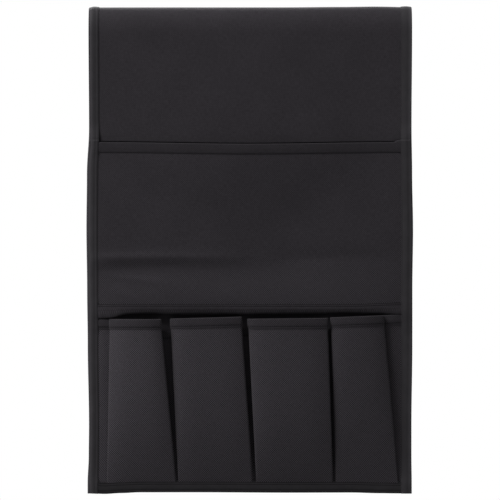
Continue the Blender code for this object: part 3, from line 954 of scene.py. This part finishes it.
LIP_PLACES = (-0.150, -0.135, -0.122, -0.095, -0.065, 0.010, 0.055, 0.095, 0.130, 0.148)
LIP_OFFSETS = (
    -0.0066, -0.0058, -0.0024, -0.0018, -0.0026, -0.0024, -0.0020, -0.0012, -0.0028, -0.0044,
)

# The rows of its cloth lie closer from just above the crease, and again from just below it
CREASE_ROW_PLACES = (-0.006, -0.005, 0.013, 0.015)
CREASE_STEP = 0.0008
BELLY_STEP = 0.0015

# Each wrinkle: its middle's X and drop, its turn, half length, half width and height
WRINKLES = (
    (-0.0857, 0.1450, math.radians(50), 0.014, 0.0045, 0.0011),
    (-0.1243, 0.1510, math.radians(40), 0.010, 0.0040, 0.0010),
    (-0.0183, 0.1510, math.radians(55), 0.010, 0.0042, 0.0008),
    (-0.1080, 0.1370, math.radians(6), 0.026, 0.0035, 0.0006),
    (0.0620, 0.1480, math.radians(60), 0.012, 0.0050, 0.0004),
    (0.0800, 0.1140, math.radians(-1), 0.045, 0.0080, -0.0009),
)


def magazine_edge_rise(x):
    """The band's lower edge climbs a little towards the right."""
    return BAND_RISE * risen(x, *BAND_RISE_X)


def wrinkle(x, down, middle_x, middle_drop, turn, length, width, height):
    """A soft ridge: a bell curve along its line times a narrower one across it."""
    off_x, off_drop = x - middle_x, down - middle_drop
    along = off_x * math.cos(turn) + off_drop * math.sin(turn)
    across = off_drop * math.cos(turn) - off_x * math.sin(turn)
    return height * np.exp(-((along / length) ** 2) - (across / width) ** 2)


def crease_height(x, down):
    """The packing crease: a slow rise, a quicker one, then a fall; it fades to the right."""
    fade = 1 - risen(x, -free_edge, CREASE_END_X) ** 2
    held = 1 - CREASE_HELD_SHARE * off_middle(x) ** CREASE_HELD_POWER
    from_crease = down - CREASE_DROP - CREASE_WAVER * np.sin(x / CREASE_WAVER_WIDTH)
    quick = smooth_step(1 + from_crease / CREASE_RISE) ** CREASE_SHARPNESS
    rising = mixed(quick, smooth_step(down / CREASE_DROP), CREASE_SLOW_SHARE)
    falling = smooth_step(1 - from_crease / CREASE_FALL) ** 2
    return CREASE_RIDGE * held * fade * rising * falling


def magazine_bow(x, down):
    """How far the pocket stands off at a drop below its mouth, in named forms added together."""
    held = 1 - off_middle(x) ** HELD_POWER
    mouth = MOUTH_BOW * slackness(x) * (1 - smooth_step(down / BOW_END))
    start, peak, end = BELLY_DROPS
    fullness = risen(down, start, peak) * (1 - risen(down, peak, end))
    to_right = risen(x, -BELLY_LOSS_REACH, BELLY_LOSS_REACH)
    belly = BELLY * (1 - BELLY_LOSS * to_right) * held * fullness
    sway = SWAY * held * ripple(x / SWAY_WIDTH + SWAY_START) * ripple(down / SWAY_DROP)
    wrinkles = sum(wrinkle(x, down, *form) for form in WRINKLES)
    lip = LIP_ROLL * held * risen(down, LIP_START, magazine_height)
    return mouth + crease_height(x, down) + belly + sway + wrinkles - lip


def magazine_point(x, down, height):
    """A point of the magazine pocket: down from its mouth and out from its inner face."""
    share = down / magazine_height
    at_mouth = 1 - smooth_step(down / MOUTH_HEM)
    at_lip = risen(down, LIP_START, magazine_height)
    z = magazine_top - down - mouth_sag(x) * (1 - share) + mouth_rise(x) * at_mouth
    z = z + magazine_edge_rise(x) * share + smooth_line(x, LIP_PLACES, LIP_OFFSETS) * at_lip
    return front_point(x, z, leaf_room + magazine_bow(x, down) + height)


def magazine_pocket():
    """The wide pocket's cloth, the tape over its mouth and the band along its bottom."""
    x = steps_between(-sewn_edge, sewn_edge, CLOTH_STEP)[None, :]
    above, fine_start, fine_end, below = (CREASE_DROP + place for place in CREASE_ROW_PLACES)
    rows = [
        steps_between(TRIM, above, CLOTH_STEP),
        steps_between(fine_start, fine_end, CREASE_STEP),
        steps_between(below, magazine_height - TRIM, BELLY_STEP),
    ]
    down = np.concatenate(rows)[:, None]
    middle = magazine_point(x, down, CLOTH / 2)
    cloth = thick_sheet("magazine_pocket_sheet", middle, CLOTH, x, down, magazine_finish)

    made = [cloth]
    stations = steps_between(-free_edge - UNDER_TAPE, free_edge + UNDER_TAPE, TAPE_STEP)
    for word, fold_drop, facing, rows, groove, finish, look in (
        ("mouth", 0.0, 1, MOUTH_ROWS, FAINT_GROOVE_DEPTH, mouth_finish, lit_thread_finish),
        ("bottom", magazine_height, -1, BAND_ROWS, GROOVE_DEPTH, band_finish, thread_finish),
    ):

        def place(across, inward, height):
            return magazine_point(across, fold_drop + facing * (TAPE / 2 + inward), height)

        name, solid = f"magazine_{word}", f"magazine_pocket_{word}_tape"
        form = TapeForm(solid_height(solid), rows, groove=groove)
        edge = BoundEdge(form, lambda across: ROOM, place)
        tape = edge.tape(f"{name}_binding", stations, finish, solid)
        thread = thread_rows(f"{name}_thread", ACROSS, rows, edge.outer_face, look)
        made += [tape, thread]
    for piece in made:
        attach(piece, "front_flap")
    dress(cloth, "pocket_cloth", "magazine_pocket_cloth")
    return made


# Remote pockets: their pleats, seams and grid, then one value for each pocket from left to right
GUSSET_TUCK = 0.0026
EDGE_ROOM = 0.0007
RIGHT_EDGE_ROOM = -0.0005
SEAM_DROOP = 0.0130
DROOP_REACH = 0.0040
DROOP_START_SHARE = 0.75
TUCK = 0.0018
STRIP_BULGES = (0.0006, 0.0015)
STRIP_BULGE_POWER = 0.7
CREVICE_SHARES = (0.1, 0.25)
SHOULDER_WIDTH = 0.0042
REMOTE_TAPE_WIDTH = 0.010
FACE_COLUMNS = 25
PATH_COLUMNS = 170
CORNER_PASSES = 4
HEM_END = 0.012
HEM_STEP = 0.0012
FACE_START = 0.0145
FACE_STEP = 0.0036
PULL_START_SHARE = 0.2
CROWN_TURN = 0.62
CROWN_POWER = 0.8
RIGHT_CURL = 4
SEWN_DEPTH = ROOM + CLOTH / 2
FOOT_DEPTH = ROOM + CLOTH + 2 * ROOM + CLOTH / 2
MOUTH_DEPTHS = (0.0172, 0.0155, 0.0155, 0.0112)
MOUTH_SLOPES = (0.0, 0.028, 0.010, 0.040)
FOOT_STEEPNESSES = (2.5, 3.0, 3.3, 2.4)
PULL_SHARES = (0.30, 0.28, 0.26, 0.22)
FACE_CROWNS = (0.0046, 0.0030, 0.0030, 0.0016)
LEFT_DROPS = (0.0106, 0.0028, 0.0016, 0.0)
RIGHT_DROPS = (0.0, 0.0006, 0.0014, 0.0036)
LEFT_SHOULDERS = (0.0012, 0.0026, 0.0018, 0.0016)
POCKETS = len(MOUTH_DEPTHS)


def divider_ends(number):
    """The X of the middle of a divider's foot and of its top."""
    name = f"pocket_divider_{number}"
    return tuple(sum(row_span(name, top)) / 2 for top in (False, True))


def evened(values, length, even):
    """Each row of values read at even lengths, its corners rounded by averaging neighbours."""
    rows = np.array([np.interp(*row) for row in zip(even, length, values)])
    for _ in range(CORNER_PASSES):
        rows[:, 1:-1] = (rows[:, :-2] + 2 * rows[:, 1:-1] + rows[:, 2:]) / 4
    return rows


class RemotePocket:
    """One pleated pocket from seam to seam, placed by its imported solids."""

    def __init__(self, number):
        self.name = f"remote_pocket_{number}"
        self.foot = row_span(f"{self.name}_face", False)
        self.mouth = row_span(f"{self.name}_face", True)
        self.middle = sum(self.mouth) / 2
        self.width = self.mouth[1] - self.mouth[0]
        self.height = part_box(f"{self.name}_mouth_tape")[1].z - foot_z
        place = number - 1
        self.finish = remote_finishes[place]
        self.depth = MOUTH_DEPTHS[place]
        self.slope = MOUTH_SLOPES[place]
        self.steepness = FOOT_STEEPNESSES[place]
        self.pull = PULL_SHARES[place]
        self.crown = FACE_CROWNS[place]
        self.drops = (LEFT_DROPS[place], RIGHT_DROPS[place])
        self.shoulder = LEFT_SHOULDERS[place]
        self.outer = (number == 1, number == POCKETS)
        self.seams = [self.seam(number - 1), self.seam(number)]

    def seam(self, divider):
        """The X of a seam at its foot and its top; outer seams lie under the side tapes."""
        outer_seams = {0: (-sewn_edge, -sewn_edge), POCKETS: (sewn_edge, sewn_edge)}
        return outer_seams.get(divider) or divider_ends(divider)

    def stand_off(self, across, up):
        """The face's distance from the panel: steep at the foot, fullest below the mouth."""
        rise = 1 - (1 - up) ** self.steepness
        pulled_in = self.pull * risen(up, PULL_START_SHARE, 1)
        bulge = np.sin(np.pi * CROWN_TURN * np.clip(up, 0, 1) ** CROWN_POWER)
        crown = self.crown * (1 - abs(2 * across - 1) ** 3) * bulge
        left_turn = self.drops[0] * (1 - across) * (2 - across) / 2
        turned = (left_turn + self.drops[1] * across**RIGHT_CURL) * rise
        shoulder = self.shoulder * np.exp(-across * self.width / SHOULDER_WIDTH) * rise
        return FOOT_DEPTH + self.depth * (rise - pulled_in) + crown - turned - shoulder

    def corners(self, up):
        """In plan, the path's ends and folds at each height: X and distance from the panel."""
        sides = []
        for which, inward in ((0, 1), (1, -1)):
            edge = mixed(self.foot[which], self.mouth[which], up)
            at_right_end = which == 1 and self.outer[1]
            edge = edge + inward * (RIGHT_EDGE_ROOM if at_right_end else EDGE_ROOM)
            seam = mixed(*self.seams[which], up)
            sewn = np.full_like(up, SEWN_DEPTH)
            out = self.stand_off(float(which), up)
            if self.outer[which]:
                start = np.full_like(up, -inward * free_edge)
                fold = edge + inward * TUCK
                bulge = sewn + STRIP_BULGES[which] * up**STRIP_BULGE_POWER
                middles = [(start, sewn), ((start + edge) / 2, bulge)]
                folded = mixed(sewn, out, CREVICE_SHARES[which])
            else:
                fold = edge + inward * GUSSET_TUCK
                middles = [((seam + fold) / 2, sewn)]
                folded = sewn
            sides.append([(seam, sewn), *middles, (fold, folded), (edge, out)])
        return sides

    def path(self, up):
        """The pleated path at each height in even steps: X, distance and length from its middle."""
        left, right = self.corners(up)
        across = np.linspace(0, 1, FACE_COLUMNS)[None, :]
        face_x = mixed(left[-1][0], right[-1][0], across)
        corners = [*left[:-1], (face_x, self.stand_off(across, up)), *right[-2::-1]]
        x, out = (np.concatenate(values, axis=1) for values in zip(*corners))
        steps = np.hypot(np.diff(x, axis=1), np.diff(out, axis=1))
        length = np.concatenate([np.zeros((len(x), 1)), np.cumsum(steps, axis=1)], axis=1)
        even = [np.linspace(0, 1, PATH_COLUMNS) * row[-1] for row in length]
        measured = np.array(even) - length[:, -1:] / 2
        return evened(x, length, even), evened(out, length, even), measured

    def surface(self, drop, height):
        """The cloth moved out by a height, at drops below the pocket's top edge.

        drop and height are columns; the result has a row for each and a column for each step
        along the path. The move is square to the path in plan.
        """
        up = 1 - drop / self.height
        x, out, measured = self.path(up)
        step_x, step_out = np.gradient(x, axis=1), np.gradient(out, axis=1)
        size = np.hypot(step_x, step_out)
        x = x - height * step_out / size
        out = out + height * step_x / size
        z = foot_z + up * (self.height + (x - self.middle) * self.slope)
        return front_point(x, z - self.droop(x, out, up), out), measured

    def droop(self, x, out, up):
        """How far the cloth's top sags where it lies on the panel, at the seams between pockets."""
        inner = np.where(x < self.middle, not self.outer[0], not self.outer[1])
        lying = smooth_step(1 - (out - SEWN_DEPTH) / DROOP_REACH)
        near_top = risen(up, DROOP_START_SHARE, 1)
        return SEAM_DROOP * inner * lying * near_top


def remote_pocket(pocket):
    """A pocket's pleated cloth, the tape over its mouth and the tape's stitches.
    """
    name = pocket.name
    rows = [
        steps_between(TRIM, HEM_END, HEM_STEP),
        steps_between(FACE_START, pocket.height, FACE_STEP),
    ]
    drop = np.concatenate(rows)[:, None]
    middle, measured = pocket.surface(drop, np.zeros_like(drop))
    cloth = thick_sheet(f"{name}_pleated_cloth", middle, CLOTH, measured, drop, pocket.finish)
    solids = [f"{name}_{solid}" for solid in ("face", "left_gusset", "right_gusset")]
    dress(cloth, "pocket_cloth", *solids)

    leaf = CLOTH / 2 + ROOM + TAPE / 2
    form = TapeForm(REMOTE_TAPE_WIDTH, REMOTE_ROWS)
    section = tape_section(form, np.array([[leaf]]), -leaf)
    inward, height, across, thickness = (values.T for values in section)
    middle, measured = pocket.surface(TAPE / 2 + inward, height)
    tape = thick_sheet(f"{name}_mouth_binding", middle, thickness, across, measured, remote_finish)
    dress(tape, "binding_tape", f"{name}_mouth_tape")

    face_height = leaf + TAPE / 2 - pressed(form.width, REMOTE_ROWS[0])
    made = [cloth, tape, pocket_thread(pocket, f"{name}_mouth_thread", face_height)]
    for piece in made:
        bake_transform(piece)
    return made


def pocket_thread(pocket, name, face_height):
    """Stitches along a pocket's mouth tape, following the pleats."""
    guide_heights = np.array([[0.0], [1.0]]) * THREAD_RADIUS + face_height
    rows = np.full((2, 1), REMOTE_ROWS[0] + TAPE / 2)
    (base, above), measured = pocket.surface(rows, guide_heights)
    along = measured[0]
    outward = (above - base) / THREAD_RADIUS

    def read(places, points):
        return np.stack([np.interp(places, along, axis) for axis in points.T], axis=-1)

    def place(at, inward, height):
        height = np.broadcast_to(height, at.shape)[..., None]
        point = read(at, base) + read(at, outward) * height
        point[..., 2] -= inward - REMOTE_ROWS[0]
        return point

    return thread_rows(name, (along[0], along[-1]), REMOTE_ROWS, place, thread_finish)


def sewn_parts():
    """The strip's hem under the bottom tape, and the stitches down its seams."""
    x = steps_between(*ACROSS, CLOTH_STEP)[None, :]
    z = steps_between(front_bottom + TRIM, foot_z, HEM)[:, None]
    middle = front_point(x, z, ROOM + CLOTH)
    hem = thick_sheet("pocket_strip_hem_cloth", middle, HEM, x, z, hem_finish)
    lands = [f"pocket_strip_{word}_land" for word in ("left", "right")]
    dress(hem, "pocket_cloth", "pocket_strip_hem", *lands)
    made = [hem]
    for number in range(1, POCKETS):
        ends = divider_ends(number)

        def place(z, inward, height):
            middle_x = mixed(*ends, (z - foot_z) / (slot_top - foot_z))
            return front_point(middle_x + inward, z, SEWN_DEPTH * 2 + height)

        name = f"pocket_divider_{number}"
        made.append(thread_rows(f"{name}_thread", (foot_z, slot_top), (0.0,), place, thread_finish))
        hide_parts(name)
    for piece in made:
        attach(piece, "front_flap")
    return made


# The organizer
bindings = {}
for stretch in stretches:
    main_cloth(stretch)
    bindings[stretch.name] = side_tape(stretch, -1) + side_tape(stretch, 1)

front_width = solid_height("bottom_tape_front") + CLOTH
back_width = front_width - CLOTH
front_tape = bottom_tape("front", front, front_width, pocket_lift, BOTTOM_ROWS, bottom_finish)
back_tape = bottom_tape("back", back, back_width, ROOM, BACK_BOTTOM_ROWS, back_bottom_finish)
for made, body, name in (
    (front_tape, "front_flap", "front_panel"),
    (back_tape, "back_tail", "back_tail"),
):
    for piece in made:
        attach(piece, body)
    bindings[name] += made

for stretch in stretches:
    flat = (2 * cloth_edge, stretch.reach[1] - stretch.reach[0])
    held = "folded" if "fold" in stretch.name else "hung"
    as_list(bindings[stretch.name])

cloth, *trims = magazine_pocket()
flat = (2 * sewn_edge, magazine_height)
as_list(trims)

for number in range(1, POCKETS + 1):
    pocket = RemotePocket(number)
    cloth, *trims = remote_pocket(pocket)
    flat = (float(np.ptp(pocket.path(np.array([[1.0]]))[2])), pocket.height)
    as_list(trims)

hem, *seams = sewn_parts()
flat = (2 * free_edge, foot_z - front_bottom)
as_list(seams)


# The photograph's frame: 500 by 500 pixels, its scale and its middle on the organizer
PIXELS = 500
METRES_PER_PIXEL = 0.00099073
PHOTO_MIDDLE_X = 0.0005
PHOTO_MIDDLE_Z = -0.2399
LENS = 300
SENSOR = 36


def add_camera():
    """A long lens straight in front, far enough back for the photograph's scale."""
    data = bpy.data.cameras.new("camera")
    data.lens = LENS
    data.sensor_width = SENSOR
    camera = add_object("camera", data)
    distance = PIXELS * METRES_PER_PIXEL * LENS / SENSOR
    camera.location = (PHOTO_MIDDLE_X, -half_gap - CLOTH - distance, PHOTO_MIDDLE_Z)
    camera.rotation_euler = (math.pi / 2, 0.0, 0.0)
    bpy.context.scene.camera = camera


FLOOR_Z = -0.95
FLOOR_RADIUS = 1.2
FLOOR_SIDES = 96
FLOOR_GLOW = 0.85
FLOOR_GREY = (0.5, 0.5, 0.5, 1)
WHITE = (1, 1, 1, 1)


def add_floor():
    """A round pale floor that shows white but keeps the shadow that falls on it."""
    turns = np.linspace(0, 2 * np.pi, FLOOR_SIDES, endpoint=False)
    rim = np.stack([np.cos(turns), np.sin(turns), np.zeros(FLOOR_SIDES)], axis=1) * FLOOR_RADIUS
    mesh = bpy.data.meshes.new("floor")
    mesh.from_pydata((rim + [0, 0, FLOOR_Z]).tolist(), [], [list(range(FLOOR_SIDES))])
    floor = add_object("floor", mesh)
    finish = Finish("pale_floor", roughness=0.9, gloss=0.1, sheen=0.0)
    finish.shader.inputs["Base Color"].default_value = FLOOR_GREY
    glow = finish.node("ShaderNodeEmission", {"Color": WHITE, "Strength": 1.0})
    lit = Value(finish, finish.shader.outputs[0])
    seen = seen_directly(finish) * FLOOR_GLOW
    shown = finish.node("ShaderNodeMixShader", {0: seen, 1: lit, 2: glow})
    output = finish.tree.nodes["Material Output"]
    finish.feed(output.inputs["Surface"], shown)
    mesh.materials.append(finish.material)


def seen_directly(finish):
    """1 for rays from the camera, or by way of a mirror or glass, and 0 for the light's own."""
    camera, glossy, transmission = (
        finish.node("ShaderNodeLightPath", output=name)
        for name in ("Is Camera Ray", "Is Glossy Ray", "Is Transmission Ray")
    )
    return camera.math("MAXIMUM", glossy).math("MAXIMUM", transmission)


AMBIENT = 0.30


class WorldFinish(Finish):
    """The world's nodes, built with the same methods as a material's."""

    def __init__(self, world):
        world.use_nodes = True
        self.tree = world.node_tree


def add_world():
    """White behind the organizer, and a dim even light on it."""
    world = bpy.data.worlds.new("studio")
    bpy.context.scene.world = world
    finish = WorldFinish(world)
    strength = seen_directly(finish) * (1 - AMBIENT) + AMBIENT
    background = world.node_tree.nodes["Background"]
    background.inputs["Color"].default_value = WHITE
    finish.feed(background.inputs["Strength"], strength)


AIM = (0.0, 0.0, -0.22)


def add_softbox(name, azimuth, elevation, distance, size, power):
    """A square lamp that faces the organizer. Azimuth 0 is in front, positive to the left."""
    turn, rise = math.radians(azimuth), math.radians(elevation)
    level = math.cos(rise)
    towards = np.array([-math.sin(turn) * level, -math.cos(turn) * level, math.sin(rise)])
    data = bpy.data.lights.new(name, "AREA")
    data.size = size
    data.energy = power
    lamp = add_object(name, data)
    lamp.location = towards * distance + AIM
    lamp.rotation_euler = (math.pi / 2 - rise, 0.0, -turn)


add_camera()
add_floor()
add_world()
add_softbox("key", azimuth=58, elevation=47, distance=3.0, size=1.1, power=162)
add_softbox("back_light", azimuth=165, elevation=45, distance=2.4, size=0.9, power=45)

scene = bpy.context.scene
scene.view_settings.view_transform = "Standard"
